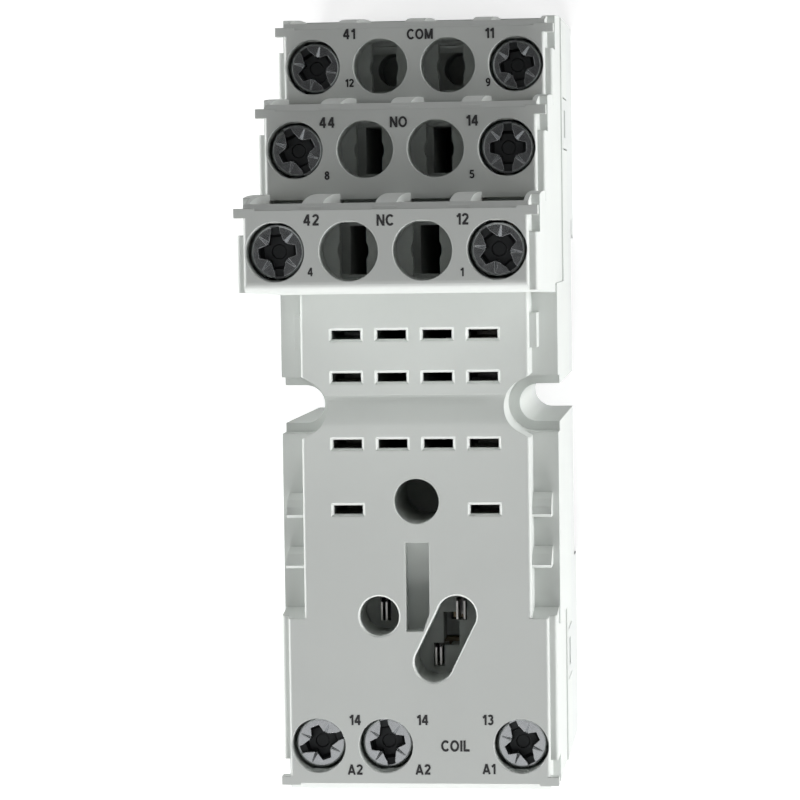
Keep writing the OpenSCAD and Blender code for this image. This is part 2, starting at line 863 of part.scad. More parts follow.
// Coil spring swept along its helix; the end turns lie closer together.
module latch_spring() {
  r = (spring_d - wire_d) / 2;
  sides = 8;
  per_turn = 14;
  n = spring_turns * per_turn;
  y0 = peg_y + peg_len + wire_d / 2 + 0.02;
  y1 = spring_end - wire_d / 2 - 0.02;
  // Share of the length reached after a share u of the turns.
  function rise(u) = let (e = 1 / spring_turns)
    u < e ? u * 0.4 : u > 1 - e ? 1 - (1 - u) * 0.4 : 0.4 * e + (u - e) * (1 - 0.8 * e) / (1 - 2 * e);
  function ring(i) = let (u = i / n, a = 360 * spring_turns * u)
    [for (k = [0:sides - 1]) let (b = 360 * k / sides, q = r + wire_d / 2 * cos(b))
      [q * cos(a), y0 + (y1 - y0) * rise(u) + wire_d / 2 * sin(b), q * sin(a)]];
  pts = [for (i = [0:n]) each ring(i)];
  walls = [for (i = [0:n - 1]) for (k = [0:sides - 1])
    let (a = i * sides + k, b = i * sides + (k + 1) % sides)
    [a, a + sides, b + sides, b]];
  color([0.8, 0.8, 0.82])
    translate([0, 0, latch_z + hook_t / 2])
      polyhedron(
        points = pts,
        faces = concat(
          [[for (k = [0:sides - 1]) k]],
          [[for (k = [sides - 1:-1:0]) n * sides + k]],
          walls
        ),
        convexity = 10
      );
}

// Drive of a terminal screw, cut from its top face: a tapering cross, a slot and four thin marks.
module drive_recess() {
  depth = 1.25;
  span([-head_d, -0.39, -0.5], [head_d, 0.39, 1]);
  translate([0, 0, -depth - 0.2])
    cylinder(r1 = 0.6, r2 = 1.15, h = depth + 0.2 + eps);
  for (a = [0:90:270])
    rotate([0, 0, a]) {
      intersection() {
        translate([0, 0, -depth])
          linear_extrude(depth + 1)
            polygon([[0, -0.75], [1.1, -0.6], [1.7, -0.42], [1.7, 0.42], [1.1, 0.6], [0, 0.75]]);
        along(-1, 1)
          polygon([[0, 1], [1.7, 1], [1.7, 0], [1, -depth - 1], [0, -depth - 1]]);
      }
      rotate([0, 0, 45])
        translate([1.5, 0, 0.06])
          rotate([0, 83, 0])
            rotate([0, 0, 45])
              cube([0.26, 0.26, 1.15], center = true);
    }
}

// Terminal screw: cylindrical head with a rounded rim, threaded shank and blunt tip.
module terminal_screw(turn) {
  r = head_d / 2;
  q = thread_d / 2;
  color([0.72, 0.73, 0.75])
    rotate([0, 0, turn])
      difference() {
        rotate_extrude()
          polygon(concat(
            [[0, head_top]],
            arc([r - 0.2, head_top - 0.2], 0.2, 90, 0, 3),
            [[r, head_low], [q, head_low], [q, screw_tip + 0.35], [q - 0.35, screw_tip],
             [0, screw_tip]]
          ));
        translate([0, 0, head_top])
          drive_recess();
      }
}

// Rising clamp cage, bent from thick strip, at its open position.
module clamp_cage() {
  w = cage_w / 2;
  top = -cage_drop;
  low = top - cage_h;
  r = 0.6;
  in_w = w - cage_t;
  outer = concat(
    arc([w - r, top - r], r, 0, 90, 5), arc([-w + r, top - r], r, 90, 180, 5),
    arc([-w + r, low + r], r, 180, 270, 5), arc([w - r, low + r], r, 270, 360, 5)
  );
  color([0.78, 0.76, 0.68])
    difference() {
      along(-cage_l / 2, cage_l / 2)
        polygon(outer);
      span([-in_w, -cage_l, low + cage_low_t], [in_w, cage_l, top - cage_top_t]);
      translate([0, 0, top - cage_top_t - 0.1])
        cylinder(d = thread_d + 2 * thread_fit, h = cage_top_t + 1);
    }
}

// Contact strip of a tier: tongue, riser, lane with its jog, and stem under the clip.
module tier_strip(c, t) {
  w = strip_w / 2;
  top = lane_top[t];
  color([0.85, 0.72, 0.45]) {
    at_tier(c, t) {
      span([-w, riser_back, -tongue_drop - strip_t], [w, tongue_tip, -tongue_drop]);
      span([-w, riser_back, top - strip_t - tier_z(t)], [w, riser_front, -tongue_drop]);
    }
    translate([0, 0, top - strip_t])
      linear_extrude(strip_t)
        lane_plan(c, t, strip_w, 0);
    translate([blade_x(c), blade_y(t), 0])
      span([-w, -stem_l / 2, top - eps], [w, stem_l / 2, clip_z]);
  }
}

module strip_a1() {
  color([0.85, 0.72, 0.45])
    translate([0, 0, clip_z - strip_t])
      coil_strip_a1(strip_t, 0);
}

module strip_a2() {
  color([0.85, 0.72, 0.45])
    translate([0, 0, clip_z - strip_t])
      coil_strip_a2(strip_t, 0);
}

// Spring clip that grips a relay blade: a bent ribbon with flared lips.
module spring_clip(x, y) {
  h = seat_z - skin_t - clip_z;
  l = clip_l / 2;
  half = [[l, 1.2], [0.33, h - 2.3], [0.72, h - 0.35]];
  line = concat(
    [for (i = [2:-1:0]) [-half[i][0], half[i][1]]],
    [[-l, clip_t / 2], [l, clip_t / 2]],
    half
  );
  color([0.8, 0.79, 0.76])
    translate([x, y, clip_z])
      across(strip_w - 0.1)
        polygon(ribbon(line, clip_t));
}

// Small fork that grips a pin of the plug-in module; its lips stand the given way apart.
module module_contact(at, top, lip) {
  t = 0.2;
  h = top - clip_z;
  half = [[0.6, 0.7], [0.26, 1.6], [lip - 0.1, h - 0.9], [lip, h]];
  line = concat(
    [for (i = [3:-1:0]) [-half[i][0], half[i][1]]],
    [[-0.6, t / 2], [0.6, t / 2]],
    half
  );
  color([0.8, 0.79, 0.76])
    translate([at[0], at[1], clip_z])
      along(-0.95, 0.85)
        polygon(ribbon(line, t));
}

housing();
rear_cover();
rail_latch();
latch_spring();
at_tier(0, 0) terminal_screw(122);  // screw_41
at_tier(0, 1) terminal_screw(115);  // screw_44
at_tier(0, 2) terminal_screw(95);  // screw_42
at_tier(3, 0) terminal_screw(100);  // screw_11
at_tier(3, 1) terminal_screw(90);  // screw_14
at_tier(3, 2) terminal_screw(127);  // screw_12
at_coil(0) terminal_screw(-20);  // screw_a2_outer
at_coil(1) terminal_screw(-100);  // screw_a2_inner
at_coil(3) terminal_screw(-115);  // screw_a1
at_tier(0, 0) clamp_cage();  // cage_41
at_tier(0, 1) clamp_cage();  // cage_44
at_tier(0, 2) clamp_cage();  // cage_42
at_tier(3, 0) clamp_cage();  // cage_11
at_tier(3, 1) clamp_cage();  // cage_14
at_tier(3, 2) clamp_cage();  // cage_12
at_coil(0) clamp_cage();  // cage_a2_outer
at_coil(1) clamp_cage();  // cage_a2_inner
at_coil(3) clamp_cage();  // cage_a1
tier_strip(0, 0);  // strip_41
tier_strip(0, 1);  // strip_44
tier_strip(0, 2);  // strip_42
tier_strip(3, 0);  // strip_11
tier_strip(3, 1);  // strip_14
tier_strip(3, 2);  // strip_12
strip_a1();
strip_a2();
spring_clip(blade_x(0), blade_y(0));  // clip_41
spring_clip(blade_x(0), blade_y(1));  // clip_44
spring_clip(blade_x(0), blade_y(2));  // clip_42
spring_clip(blade_x(3), blade_y(0));  // clip_11
spring_clip(blade_x(3), blade_y(1));  // clip_14
spring_clip(blade_x(3), blade_y(2));  // clip_12
spring_clip(blade_x(3), blade_rows[3]);  // clip_a1
spring_clip(blade_x(0), blade_rows[3]);  // clip_a2
module_contact(mod_a, seat_z - 4.4, 0.24);  // module_contact_a2
module_contact(mod_b, seat_z - 4.8, 0.36);  // module_contact_a1
module_contact(mod_c, seat_z - 5, 0.24);  // module_contact_low
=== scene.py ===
# %% [markdown]
# # A relay socket, dressed for the camera
# The socket is a stepped block of grey moulding with metal terminals inside. Its shapes come from
# the CAD frame, in metres, so this file only gives each piece its finish, adds the printed numbers
# and the fine metal detail, and sets the stage. Loading the frame first fixes every place and size.

# %% Load the frame
import math
import bpy
import numpy as np
from mathutils import Matrix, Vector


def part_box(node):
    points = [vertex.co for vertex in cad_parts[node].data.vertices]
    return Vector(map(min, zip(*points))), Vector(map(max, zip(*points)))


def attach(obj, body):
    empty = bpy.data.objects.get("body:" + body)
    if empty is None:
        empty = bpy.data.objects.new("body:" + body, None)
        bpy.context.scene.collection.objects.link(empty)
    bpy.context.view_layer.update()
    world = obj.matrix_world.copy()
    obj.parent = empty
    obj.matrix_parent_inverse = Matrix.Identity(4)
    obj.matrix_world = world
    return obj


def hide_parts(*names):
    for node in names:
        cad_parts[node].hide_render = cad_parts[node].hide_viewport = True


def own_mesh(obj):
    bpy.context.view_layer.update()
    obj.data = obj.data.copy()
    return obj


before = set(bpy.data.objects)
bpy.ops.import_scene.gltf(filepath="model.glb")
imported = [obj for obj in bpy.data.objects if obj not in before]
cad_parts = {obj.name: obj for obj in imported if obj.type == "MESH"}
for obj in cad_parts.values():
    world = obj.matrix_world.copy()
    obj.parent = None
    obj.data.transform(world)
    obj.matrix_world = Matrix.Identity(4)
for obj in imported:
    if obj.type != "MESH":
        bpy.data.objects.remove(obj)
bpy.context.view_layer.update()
MM = 0.001

# %% [markdown]
# ## Reading places from the frame
# A terminal is wherever its screw is. The middle of a screw's box gives the place of its well, and
# the printed faces lie a known distance above the screw heads. Nothing below repeats a measure that
# the frame already knows.

# %% Places of the terminals
POLES = {"com": ("41", "11"), "no": ("44", "14"), "nc": ("42", "12")}
HEAD_DROP = 1.8 * MM


def middle(node):
    """Centre of a node's box in plan, and the height of its top: ((x0 + x1)/2, (y0 + y1)/2, z1)."""
    low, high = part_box(node)
    return (low[0] + high[0]) / 2, (low[1] + high[1]) / 2, high[2]


SCREWS = [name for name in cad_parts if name.startswith("screw_")]
PLACE = {name: middle(name) for name in SCREWS}
PITCH = (PLACE["screw_11"][0] - PLACE["screw_41"][0]) / 3
SEAT = PLACE["screw_a1"][2] + HEAD_DROP
print(len(SCREWS), "screws, pole pitch", round(PITCH / MM, 3), "mm, relay seat at", round(SEAT / MM, 2), "mm")

# %% [markdown]
# ## Shader maths as Python expressions
# A finish is a formula: a little noise here, a ring pattern there. Wiring each step by hand hides the
# formula, so one small class wraps a socket and lets Python's own operators add the Math nodes.

# %% A socket that can be added, multiplied and compared
class Wire:
    """A shader socket in an expression: a + b adds a Math node whose value is the sum of both."""

    def __init__(self, finish, socket):
        self.finish = finish
        self.socket = socket

    def _math(self, operation, *values):
        return self.finish.node("ShaderNodeMath", {"operation": operation}, *values)

    def __add__(self, other): return self._math("ADD", self, other)
    def __sub__(self, other): return self._math("SUBTRACT", self, other)
    def __mul__(self, other): return self._math("MULTIPLY", self, other)
    def __truediv__(self, other): return self._math("DIVIDE", self, other)
    def __gt__(self, other): return self._math("GREATER_THAN", self, other)
    def __lt__(self, other): return self._math("LESS_THAN", self, other)
    def __pow__(self, other): return self._math("POWER", self, other)
    def __mod__(self, other): return self._math("FLOORED_MODULO", self, other)
    def __rsub__(self, other): return self._math("SUBTRACT", other, self)

    __radd__ = __add__
    __rmul__ = __mul__

    def of(self, operation, *values):
        """One-off maths, such as the sine or the arctangent of this value."""
        return self._math(operation, self, *values)


# %% A finish: one material and its nodes
class Finish:
    """A material, or the world, built from expressions, with one method that makes any node."""

    def __init__(self, name, world=None):
        self.material = world or bpy.data.materials.new(name)
        self.material.use_nodes = True
        self.tree = self.material.node_tree
        self.tree.nodes.clear()
        self.out = self.tree.nodes.new(f"ShaderNodeOutput{'World' if world else 'Material'}")

    def node(self, kind, settings=None, *values, out=0, **inputs):
        """Add a node: its settings first, then values or links by place or by socket name."""
        made = self.tree.nodes.new(kind)
        for key, value in (settings or {}).items():
            if key == "stops":
                ramp = made.color_ramp.elements
                while len(ramp) < len(value):
                    ramp.new(0.5)
                for stop, (position, colour) in zip(ramp, value):
                    stop.position = position
                    stop.color = (*colour, 1)
            else:
                setattr(made, key, value)
        named = {key.replace("_", " "): value for key, value in inputs.items()}
        for key, value in [*enumerate(values), *named.items()]:
            self._feed(made.inputs[key], value)
        return Wire(self, made.outputs[out])

    def _feed(self, socket, value):
        if value is None:
            return
        if isinstance(value, Wire):
            self.tree.links.new(value.socket, socket)
        elif isinstance(value, (tuple, list)) and len(value) == 3 and socket.type == "RGBA":
            socket.default_value = (*value, 1)
        else:
            socket.default_value = value

    def place(self, centre=(0, 0, 0), turn=0.0):
        """Object coordinates, moved so that the centre is at the origin and turned about Z."""
        coords = self.node("ShaderNodeTexCoord", out="Object")
        moved = self.node("ShaderNodeVectorMath", {"operation": "SUBTRACT"}, coords, tuple(centre))
        return self.node("ShaderNodeMapping", None, moved, Rotation=(0, 0, turn)) if turn else moved

    def split(self, vector):
        """The three numbers of a vector."""
        node = self.tree.nodes.new("ShaderNodeSeparateXYZ")
        self._feed(node.inputs[0], vector)
        return [Wire(self, socket) for socket in node.outputs]

    def noise(self, vector, size, detail=2.0, rough=0.5):
        """Noise from 0 to 1 whose lumps are about as large as size, in metres."""
        return self.node("ShaderNodeTexNoise", {"noise_dimensions": "3D"}, Vector=vector,
                         Scale=1 / size, Detail=detail, Roughness=rough)

    def rise(self, value, start, end):
        """A smooth step: 0 below start, 1 above end."""
        return self.node("ShaderNodeMapRange", {"interpolation_type": "SMOOTHSTEP"}, value, start, end,
                         0.0, 1.0)

    def mix(self, share, first, second):
        """The colour between two others: first x (1 - share) + second x share."""
        node = self.tree.nodes.new("ShaderNodeMix")
        node.data_type = "RGBA"
        self._feed(node.inputs[0], share)
        self._feed(node.inputs[6], first)
        self._feed(node.inputs[7], second)
        return Wire(self, node.outputs[2])

    def bump(self, height, depth, normal=None):
        """A normal that leans as a relief of that height, in metres, would."""
        return self.node("ShaderNodeBump", None, Height=height, Strength=1.0, Distance=depth,
                         Normal=normal)

    def surface(self, **inputs):
        """The Principled shader with these inputs, wired to the output."""
        shader = self.node("ShaderNodeBsdfPrincipled", None, **inputs)
        self.tree.links.new(shader.socket, self.out.inputs[0])
        return self


print("maths and finishes ready")

# %% [markdown]
# ## The grey moulding
# The housing is injection moulded from filled thermoplastic. The tool was spark eroded, so the skin
# has a very fine matt grain, and every edge has a tiny radius that catches the light. The Bevel node
# rounds the shading of all edges at once, with no change to the mesh, which suits a body that has
# more than a thousand small edges. A faint, slow change of tone keeps large faces from looking flat.

# %% Moulded plastic
def moulding(name, colour, grain=0.11 * MM, depth=0.006 * MM, edge=0.1 * MM, rough=0.5):
    """Matt moulded plastic: colour x (1 + slow noise), grain as bump, edges rounded in shading."""
    fin = Finish(name)
    at = fin.place()
    slow = fin.noise(at, 9 * MM, 3)
    fine = fin.noise(at, grain, 2, 0.6)
    dark = tuple(c * 0.93 for c in colour)
    light = tuple(min(1, c * 1.04) for c in colour)
    round_edge = fin.node("ShaderNodeBevel", {"samples": 4}, edge)
    normal = fin.bump(fine, depth, round_edge)
    fin.surface(Base_Color=fin.mix(slow * 0.7 + fine * 0.3, dark, light), Normal=normal,
                Roughness=rough - 0.06 + fine * 0.12, IOR=1.5)
    return fin.material


HOUSING_GREY = (0.605, 0.628, 0.608)
grey_moulding = moulding("grey moulding", HOUSING_GREY)
cover_moulding = moulding("cover moulding", (0.59, 0.61, 0.60))
latch_moulding = moulding("black moulding", (0.022, 0.022, 0.024), rough=0.42)
print("three mouldings")

# %% [markdown]
# ## Zinc on the terminal screws
# The screws are cold headed and zinc plated. A turned face shows fine rings round the screw's own
# axis, so each screw gets a finish of its own, centred on itself. Below the head the same formula
# changes into the thread: a ridge that climbs one pitch for each turn.

# %% A finish centred on one screw
THREAD_PITCH = 0.45 * MM


def zinc_screw(name):
    """Zinc with rings: bump = sin(r / ring) on the head, and the height (z/pitch + angle/2pi) mod 1; below
    the head's top the colour is painted near black, as painted shade of the drive recess.
    """
    x, y, top = PLACE[name]
    fin = Finish("zinc " + name)
    at = fin.place((x, y, top))
    px, py, pz = fin.split(at)
    r = (px * px + py * py) ** 0.5
    angle = py.of("ARCTAN2", px)
    turned = (r * (2 * math.pi / (0.09 * MM))).of("SINE") * 0.5 + 0.5
    climb = (pz * (1 / THREAD_PITCH) + angle * (1 / (2 * math.pi))) % 1.0
    ridge = (climb - 0.5).of("ABSOLUTE") * 2.0
    shank = (pz < -1.85 * MM) * (r < 1.3 * MM)
    cloud = fin.noise(at, 0.9 * MM, 4, 0.6)
    fine = fin.noise(at, 0.12 * MM, 3, 0.65)
    relief = (turned * 0.05 + fine * 0.12) * (1 - shank) + ridge * shank * 12
    normal = fin.bump(relief, 0.012 * MM, fin.node("ShaderNodeBevel", {"samples": 4}, 0.07 * MM))
    tone = fin.mix(cloud, (0.44, 0.46, 0.47), (0.68, 0.69, 0.70))
    # painted shade: from 0.15 to 0.5 mm below the head's top, within 2.2 mm of the axis, the zinc is painted
    # near black and made rougher, standing in for the shade inside the drive recess
    painted_recess_shade = fin.rise(0.0 - pz, 0.15 * MM, 0.5 * MM) * (r < 2.2 * MM)
    tone = fin.mix(painted_recess_shade, tone, (0.05, 0.052, 0.053))
    fin.surface(Base_Color=tone, Metallic=1.0, Roughness=0.14 + cloud * 0.1 + painted_recess_shade * 0.3, Normal=normal)
    return fin.material


screw_finish = {name: zinc_screw(name) for name in SCREWS}
print(len(screw_finish), "screw finishes")

# %% [markdown]
# ## Clamps, strips and springs
# The cages are bent from thick strip and plated, the contact strips are brass and the clips that grip the
# relay's blades are tinned spring bronze. They show only as glints in slots and wire entries, each in its own
# colour: yellowish plating, warm brass, cool tin. The brass colour is also darkened, as painted shade, so the
# strips stay dark far down in the slots.

# %% Plated and rolled metal
def rolled_metal(name, colour, rough, stretch, edge=0.08 * MM):
    """Metal with rolling marks: noise stretched along one direction, in colour, roughness and bump."""
    fin = Finish(name)
    at = fin.place()
    drawn = fin.node("ShaderNodeVectorMath", {"operation": "MULTIPLY"}, at, stretch)
    marks = fin.noise(drawn, 0.08 * MM, 3, 0.6)
    cloud = fin.noise(at, 1.6 * MM, 3)
    dark = tuple(c * 0.72 for c in colour)
    normal = fin.bump(marks, 0.004 * MM, fin.node("ShaderNodeBevel", {"samples": 4}, edge))
    fin.surface(Base_Color=fin.mix(cloud * 0.6 + marks * 0.4, dark, colour), Metallic=1.0,
                Roughness=rough + marks * 0.12, Normal=normal)
    return fin.material


clamp_plating = rolled_metal("clamp plating", (0.66, 0.63, 0.54), 0.34, (1.0, 0.15, 1.0))
# painted shade: this brass colour is darkened so the strips stay dark far down in the slots
strip_brass = rolled_metal("strip brass", (0.42, 0.35, 0.24), 0.42, (1.0, 0.12, 1.0))
tinned_bronze = rolled_metal("tinned bronze", (0.80, 0.79, 0.76), 0.26, (0.2, 1.0, 1.0))
spring_wire = rolled_metal("spring wire", (0.56, 0.56, 0.58), 0.22, (1.0, 0.4, 1.0), 0.03 * MM)
print("four metals")

# %% Give every carried-over piece its finish
FINISH_OF = {"housing": grey_moulding, "rear_cover": cover_moulding, "rail_latch": latch_moulding}
FINISH_START = {"cage_": clamp_plating, "strip_": strip_brass, "clip_": tinned_bronze,
                "module_contact": tinned_bronze, "latch_spring": spring_wire}


def finish_for(name):
    """The finish of a CAD node, from its name."""
    if name in screw_finish:
        return screw_finish[name]
    starts = [fin for start, fin in FINISH_START.items() if name.startswith(start)]
    return FINISH_OF.get(name) or starts[0]


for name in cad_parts:
    obj = bpy.data.objects[name]
    for slot_index in range(max(1, len(obj.material_slots))):
        if obj.material_slots:
            obj.material_slots[slot_index].material = finish_for(name)
        else:
            obj.data.materials.append(finish_for(name))
print("dressed", len(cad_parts), "pieces")

# %% [markdown]
# ## Surfaces worked out with numpy
# New pieces are grids: a formula gives every point at once, and the faces follow from the grid's
# rows and columns. One helper turns such arrays into an object that rides on a body of the frame.

# %% From arrays to an object
def piece_from(name, points, faces, finish, body):
    """Make a piece from an (n, 3) array of points in metres and a list of faces."""
    mesh = bpy.data.meshes.new(name)
    mesh.from_pydata(np.asarray(points).tolist(), [], [list(face) for face in faces])
    mesh.materials.append(finish)
    obj = bpy.data.objects.new(name, mesh)
    bpy.context.scene.collection.objects.link(obj)
    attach(obj, body)
    return obj


def tube(path, radius, sides=10):
    """Points and faces of a round tube: path + radius (cos b N + sin b B), with closed ends."""
    path = np.asarray(path)
    ahead = np.gradient(path, axis=0)
    ahead /= np.linalg.norm(ahead, axis=1)[:, None]
    side = np.cross(ahead, [0.0, 1.0, 0.0])
    side /= np.linalg.norm(side, axis=1)[:, None]
    up = np.cross(side, ahead)
    b = np.linspace(0, 2 * np.pi, sides, endpoint=False)
    ring = np.cos(b)[None, :, None] * side[:, None] + np.sin(b)[None, :, None] * up[:, None]
    points = (path[:, None] + radius * ring).reshape(-1, 3)
    rows, cols = np.arange(len(path) - 1)[:, None] * sides, np.arange(sides)[None]
    nxt = (cols + 1) % sides
    quads = np.stack([rows + cols, rows + nxt, rows + sides + nxt, rows + sides + cols], -1)
    faces = quads.reshape(-1, 4).tolist()
    last = (len(path) - 1) * sides
    return points, faces + [list(range(sides))[::-1], list(range(last, last + sides))]


# %% The latch spring
low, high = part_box("latch_spring")
turns, wire = 8, 0.15 * MM
share = np.linspace(0, 1, turns * 22 + 1)
coil_r = (high[0] - low[0]) / 2 - wire
reach = high[1] - low[1] - 2 * wire
lead = np.interp(share, [0, 1 / turns, 1 - 1 / turns, 1], [0, 0.05, 0.95, 1])
turn_angle = 2 * np.pi * turns * share
helix = np.stack([coil_r * np.cos(turn_angle), low[1] + wire + reach * lead,
                  (low[2] + high[2]) / 2 + coil_r * np.sin(turn_angle)], axis=1)
spring_points, spring_faces = tube(helix, wire)
print("spring of", turns, "turns,", len(spring_faces), "faces")

# %% [markdown]
# The spring is squeezed when the latch is pulled out, so it replaces the rigid CAD spring.

# %% Put the wire spring in place of the rigid one
spring = piece_from("latch_spring_wire", spring_points, spring_faces, spring_wire, "socket")
for face in spring.data.polygons:
    face.use_smooth = True
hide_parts("latch_spring")
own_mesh(spring)

# %% [markdown]
# ## Printed numbers
# Contact numbers are pad printed in black ink on the grey faces, in plain sturdy letters. Each letter
# is a few strokes of one width, and a stroke is a line or an arc with that width, so the letters can
# be worked out like any other surface. Real ink is a few hundredths of a millimetre thick, so every
# stroke is a very thin closed ribbon, and a row of numbers is one piece on the housing.

# %% Ink
ink = Finish("black ink")
ink_at = ink.place()
ink_cloud = ink.noise(ink_at, 0.12 * MM, 3)
ink.surface(Base_Color=ink.mix(ink_cloud, (0.006, 0.006, 0.007), (0.014, 0.014, 0.015)),
            Roughness=0.75 + ink_cloud * 0.1)
INK_THICK = 0.012 * MM


# %% Strokes on a cell one unit tall
STEM = 0.205
EDGE = STEM / 2


def bow(x, y, rx, ry, start, end):
    """Part of an ellipse: (x + rx cos a, y + ry sin a) for angles from start to end, in degrees."""
    a = np.radians(np.linspace(start, end, 25))
    return np.stack([x + rx * np.cos(a), y + ry * np.sin(a)], 1)


def line(*corners):
    """A straight stroke, or a bent one, through its corners."""
    return np.array(corners, float)


GLYPHS = {
    "1": [line((0.30, 0), (0.30, 1)), line((0.02, 0.72), (0.16, 0.79), (0.27, 0.94))],
    "2": [np.concatenate([bow(0.305, 0.70, 0.225, 0.215, 170, -28), [(0.10, EDGE)]]),
          line((0.02, EDGE), (0.60, EDGE))],
    "3": [bow(0.29, 0.73, 0.20, 0.185, 150, -90), bow(0.29, 0.305, 0.225, 0.22, 90, -150)],
    "4": [line((0.46, 0), (0.46, 1)), line((0.0, 0.30), (0.64, 0.30)), line((0.06, 0.31), (0.42, 0.96))],
    "5": [line((0.56, 1 - EDGE), (0.14, 1 - EDGE)), line((0.185, 0.98), (0.115, 0.50)),
          bow(0.30, 0.33, 0.235, 0.245, 135, -155)],
    "8": [bow(0.31, 0.74, 0.185, 0.175, 0, 360), bow(0.31, 0.295, 0.22, 0.21, 0, 360)],
    "9": [bow(0.30, 0.675, 0.21, 0.238, 0, 360), bow(0.265, 0.56, 0.245, 0.475, 12, -118)],
    "A": [line((0.04, 0), (0.36, 0.98)), line((0.68, 0), (0.36, 0.98)), line((0.16, 0.27), (0.56, 0.27))],
    "C": [bow(0.42, 0.5, 0.33, 0.415, 42, 318)],
    "I": [line((EDGE, 0), (EDGE, 1))],
    "L": [line((EDGE, 0), (EDGE, 1)), line((EDGE, EDGE), (0.58, EDGE))],
    "M": [line((EDGE, 0), (EDGE, 1)), line((0.76, 0), (0.76, 1)), line((0.12, 0.97), (0.424, 0.05)),
          line((0.728, 0.97), (0.424, 0.05))],
    "N": [line((EDGE, 0), (EDGE, 1)), line((0.66, 0), (0.66, 1)), line((0.13, 0.95), (0.618, 0.05))],
    "O": [bow(0.42, 0.5, 0.33, 0.415, 0, 360)],
}
print(len(GLYPHS), "letters of", sum(map(len, GLYPHS.values())), "strokes")


# %% From strokes to thin ribbons
def ribbon(path, width, low, high):
    """A flat bar along a path: path + (width / 2) n to both sides, where n is the path's normal."""
    ahead = np.gradient(path, axis=0)
    ahead /= np.linalg.norm(ahead, axis=1)[:, None]
    half = np.stack([-ahead[:, 1], ahead[:, 0]], 1) * width / 2
    rim = np.concatenate([path + half, (path - half)[::-1]])
    n = len(rim)
    points = np.concatenate([np.column_stack([rim, np.full(n, z)]) for z in (low, high)])
    i = np.arange(len(path) - 1)
    top = np.stack([i + 1, i, n - 1 - i, n - 2 - i], 1)[:, ::-1] + n
    bottom = top[:, ::-1] - n
    k = np.arange(n)
    walls = np.stack([k, k + n, (k + 1) % n + n, (k + 1) % n], 1)
    return points, np.concatenate([top, bottom, walls])


def lettering(text, height, squeeze):
    """Letters of a cap height, centred on the origin; each stroke is a hair higher than the last."""
    pen, points, faces, start = 0.0, [], [], 0
    for letter in text:
        strokes = GLYPHS[letter]
        for order, stroke in enumerate(strokes):
            p, f = ribbon(stroke, STEM, -0.2, 1 + 0.05 * order)
            points.append(p + [pen, 0, 0])
            faces.append(f + start)
            start += len(p)
        pen += max(stroke[:, 0].max() for stroke in strokes) + 0.21
    points = np.concatenate(points)
    middle_x = (points[:, 0].max() + points[:, 0].min()) / 2
    scale = [height * squeeze, height, INK_THICK]
    return (points - [middle_x, 0.5, 0]) * scale, np.concatenate(faces)


def print_row(name, z, marks):
    """One printed row: each mark is (text, x, y, cap height) in millimetres on the face at z."""
    points, faces, start = [], [], 0
    for text, x, y, height in marks:
        p, f = lettering(text, height * MM, 0.93)
        points.append(p + [x * MM, y * MM, z])
        faces.append(f + start)
        start += len(p)
    return piece_from(name, np.concatenate(points), np.concatenate(faces).tolist(), ink.material,
                      "socket")


# %% The four printed rows
FACE = {row: PLACE["screw_" + names[0]][2] + HEAD_DROP for row, names in POLES.items()}
print_row("print_common", FACE["com"], [("41", -6.23, 35.44, 1.0), ("COM", 0.63, 35.31, 1.0),
          ("11", 7.36, 35.27, 1.0), ("12", -6.25, 30.73, 0.78), ("9", 7.16, 30.58, 0.78)])
print_row("print_open", FACE["no"], [("44", -6.76, 26.51, 1.0), ("NO", -0.11, 26.47, 1.0),
          ("14", 6.69, 26.49, 1.0), ("8", -6.81, 21.63, 0.78), ("5", 6.62, 21.57, 0.78)])
print_row("print_closed", FACE["nc"] - 0.006 * MM, [("42", -6.52, 17.53, 1.0),
          ("NC", 0.03, 17.44, 1.0), ("12", 6.86, 17.44, 1.0), ("4", -6.68, 12.96, 0.76),
          ("1", 6.76, 12.8, 0.76)])
print_row("print_coil", SEAT, [("14", -6.23, -30.73, 1.0), ("14", 0.32, -30.71, 1.0),
          ("13", 6.66, -30.69, 1.0), ("COIL", 3.47, -33.23, 1.08), ("A2", -6.28, -35.57, 1.0),
          ("A2", 0.32, -35.53, 1.0), ("A1", 6.7, -35.45, 1.0)])
print("four printed rows, faces at", {row: round(z / MM, 2) for row, z in FACE.items()})

# %% [markdown]
# ## Stage
# The socket lies on a plain pale sheet. The sheet and the world show white to the camera, while the sheet
# still takes the socket's soft shadow.

# %% Floor
floor_finish = Finish("pale sheet")
path = floor_finish.node("ShaderNodeLightPath", out="Is Camera Ray")
plain = floor_finish.node("ShaderNodeBsdfDiffuse", None, Color=(0.85, 0.85, 0.85))
glow = floor_finish.node("ShaderNodeEmission", None, Color=(1, 1, 1), Strength=path * 0.45)
both = floor_finish.node("ShaderNodeAddShader", None, plain, glow)
floor_finish.tree.links.new(both.socket, floor_finish.out.inputs[0])
size = 0.9
floor_mesh = bpy.data.meshes.new("sheet")
floor_mesh.from_pydata([(-size, -size, 0), (size, -size, 0), (size, size, 0), (-size, size, 0)], [],
                       [(0, 1, 2, 3)])
floor_mesh.materials.append(floor_finish.material)
floor = bpy.data.objects.new("sheet", floor_mesh)
floor.location.z = -0.02 * MM
bpy.context.scene.collection.objects.link(floor)

# %% [markdown]
# The metal needs something to mirror. Bright screens stand all round, but straight above, where the
# camera hangs, the room is dark. So a screw that lies flat shows a dark face with bright edges, and
# one near the coil end catches the screen that leans in from that side.

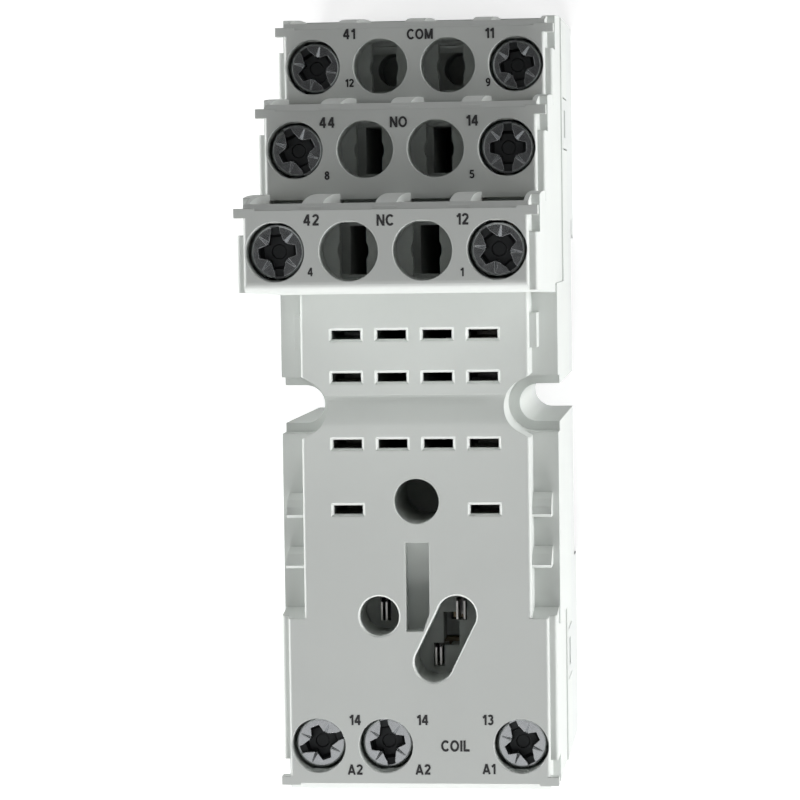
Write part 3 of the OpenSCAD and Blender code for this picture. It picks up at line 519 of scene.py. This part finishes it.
# %% World
world = bpy.data.worlds.new("studio")
bpy.context.scene.world = world
room = Finish("studio", world)
seen = room.node("ShaderNodeLightPath", out="Is Camera Ray")
mirrored = room.node("ShaderNodeLightPath", out="Is Glossy Ray")
dx, dy, dz = room.split(room.node("ShaderNodeTexCoord", out="Generated"))
lean = (dx * dx + dy * dy) ** 0.5
screens = room.rise(lean, 0.40, 0.75)
coil_side = room.rise(0.0 - dy, 0.09, 0.16)
shine = screens.of("MAXIMUM", coil_side) * 0.86 + 0.04
FILL = 0.035
strength = seen + (1 - seen) * (mirrored * shine + (1 - mirrored) * FILL)
back = room.node("ShaderNodeBackground", None, Color=(0.985, 0.99, 1.0), Strength=strength)
room.tree.links.new(back.socket, room.out.inputs[0])
print("studio with a dark place overhead, fill", FILL)

# %% [markdown]
# ## Soft boxes
# All the light comes in low. The strongest box stands beyond the coil end, so the tower of terminals
# throws its own shadow over the two lower tiers, and the wells stay dark. Low boxes on both sides
# light the walls and ribs almost white. Each box is aimed at the middle of the socket.

# %% Lamps
def soft_box(name, place, width, height, watts, tint=(1, 1, 1)):
    """A rectangular lamp at a place in metres that faces the socket's middle."""
    data = bpy.data.lights.new(name, "AREA")
    data.shape, data.size, data.size_y = "RECTANGLE", width, height
    data.energy, data.color = watts, tint
    lamp = bpy.data.objects.new(name, data)
    lamp.location = place
    middle_of = np.array([0, 0, 0.03])
    away = np.array(place) - middle_of
    away /= np.linalg.norm(away)
    across = np.cross([0, 0, 1], away)
    across = across / np.linalg.norm(across) if np.linalg.norm(across) > 1e-6 else np.array([1, 0, 0])
    upward = np.cross(away, across)
    turn = Matrix(np.column_stack([across, upward, away]).tolist()).to_4x4()
    lamp.matrix_world = Matrix.Translation(place) @ turn
    bpy.context.scene.collection.objects.link(lamp)
    return lamp


soft_box("key", (0.0, -0.50, 0.20), 0.5, 0.18, 3.1)
soft_box("left_low", (-0.50, 0.0, 0.12), 0.5, 0.14, 3.2)
soft_box("right_low", (0.50, 0.0, 0.12), 0.5, 0.14, 3.2)
print("three soft boxes")

# %% [markdown]
# ## Camera
# The view is nearly straight down from 0.33 m, a little from the right, through a long lens.

# %% Camera
camera_data = bpy.data.cameras.new("camera")
camera_data.lens = 139.5
camera_data.sensor_width = 36.0
camera_data.clip_start = 0.01
camera = bpy.data.objects.new("camera", camera_data)


def turned(ax, ay, az):
    """The rotation about X, then Y, then Z, in degrees, as a 3 x 3 array."""
    a, b, c = np.radians([ax, ay, az])
    rx = np.array([[1, 0, 0], [0, np.cos(a), -np.sin(a)], [0, np.sin(a), np.cos(a)]])
    ry = np.array([[np.cos(b), 0, np.sin(b)], [0, 1, 0], [-np.sin(b), 0, np.cos(b)]])
    rz = np.array([[np.cos(c), -np.sin(c), 0], [np.sin(c), np.cos(c), 0], [0, 0, 1]])
    return rz @ ry @ rx


to_view = turned(3.26651, -6.04966, 0.44191)
camera.matrix_world = (Matrix.Translation((0.029914, 0.017070, 0.332083))
                       @ Matrix(to_view.T.tolist()).to_4x4())
bpy.context.scene.collection.objects.link(camera)
bpy.context.scene.camera = camera
bpy.context.scene.view_settings.view_transform = "Standard"
print("camera at", [round(v / MM, 1) for v in camera.matrix_world.translation], "mm")
